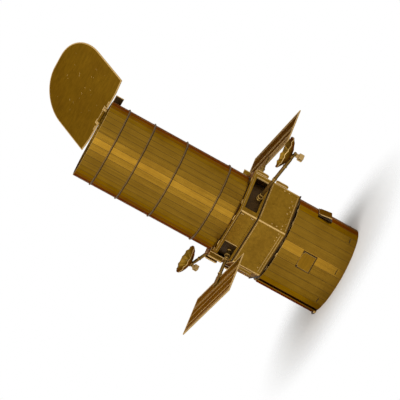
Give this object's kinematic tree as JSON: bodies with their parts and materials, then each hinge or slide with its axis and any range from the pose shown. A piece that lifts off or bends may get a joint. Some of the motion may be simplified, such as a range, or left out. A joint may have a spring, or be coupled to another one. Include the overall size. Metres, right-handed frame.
{
  "type": "brass space telescope satellite model",
  "caption": "Small folded sheet-brass desk model of a space telescope satellite: ribbed tube with an open door, hexagonal bay, aft shroud, solar arrays on masts and dish antennas on booms.",
  "frame": {"origin": "centre of the aft disc's outer face, which the model stands on", "axes": "+Z along the telescope to its mouth, -Y to the front antenna, -X and +X to the solar arrays"},
  "size_m": [0.0842, 0.0919, 0.1174],
  "materials": {
    "tube_brass": "polished, fine rolled grain with etched lines",
    "band_brass": "polished, fine rolled grain with etched lines",
    "bay_brass": "polished, fine rolled grain with etched lines",
    "shroud_brass": "polished, fine rolled grain with etched lines",
    "array_brass": "polished, fine rolled grain with etched lines",
    "arm_brass": "polished, fine rolled grain with etched lines",
    "dish_brass": "polished, fine rolled grain with etched lines",
    "door_brass": "polished, fine rolled grain with etched lines"
  },
  "bodies": {
    "telescope": {"forward_tube": "tube_brass", "tube_band_1": "band_brass", "tube_band_2": "band_brass", "tube_band_3": "band_brass", "tube_band_4": "band_brass", "front_plate": "bay_brass", "bay_strip": "bay_brass", "mid_plate": "bay_brass", "bay_wrap": "bay_brass", "aft_plate": "bay_brass", "corner_tabs": "bay_brass", "mast_bracket_left": "arm_brass", "mast_bracket_right": "arm_brass", "aft_shroud": "shroud_brass", "shroud_cap": "shroud_brass", "aft_disc": "shroud_brass", "hatch_1": "shroud_brass", "hatch_2": "shroud_brass", "hatch_3": "shroud_brass", "hatch_4": "shroud_brass", "shroud_seam": "shroud_brass", "mast_socket_left": "arm_brass", "mast_socket_right": "arm_brass", "boom_socket_front": "arm_brass", "boom_socket_back": "arm_brass", "hinge_plate": "tube_brass", "hinge_pin": "tube_brass"},
    "door": {"door": "door_brass"},
    "wing_left": {"mast_left": "arm_brass", "array_left": "array_brass"},
    "wing_right": {"mast_right": "arm_brass", "array_right": "array_brass"},
    "antenna_front": {"boom_front": "arm_brass", "dish_front": "dish_brass", "feed_block_front": "dish_brass"},
    "antenna_back": {"boom_back": "arm_brass", "dish_back": "dish_brass", "feed_block_back": "dish_brass"}
  },
  "joints": [
    {"name": "door_hinge", "type": "hinge", "parent": "telescope", "child": "door", "pos_m": [0.01412, 0.00459, 0.09495], "axis": [-0.309, 0.9511, 0], "range_deg": [-128.3, 0]},
    {"name": "wing_left_swivel", "type": "hinge", "parent": "telescope", "child": "wing_left", "pos_m": [-0.0155, 0, 0.03655], "axis": [-1, 0, 0], "range_deg": [-90, 90]},
    {"name": "wing_right_swivel", "type": "hinge", "parent": "telescope", "child": "wing_right", "pos_m": [0.0155, 0, 0.03655], "axis": [1, 0, 0], "range_deg": [-90, 90]},
    {"name": "antenna_front_swivel", "type": "hinge", "parent": "telescope", "child": "antenna_front", "pos_m": [0, -0.0142, 0.03655], "axis": [0, -1, 0], "range_deg": [-90, 90]},
    {"name": "antenna_back_swivel", "type": "hinge", "parent": "telescope", "child": "antenna_back", "pos_m": [0, 0.0142, 0.03655], "axis": [0.138, 0.9818, 0.1305], "range_deg": [-90, 90]}
  ]
}
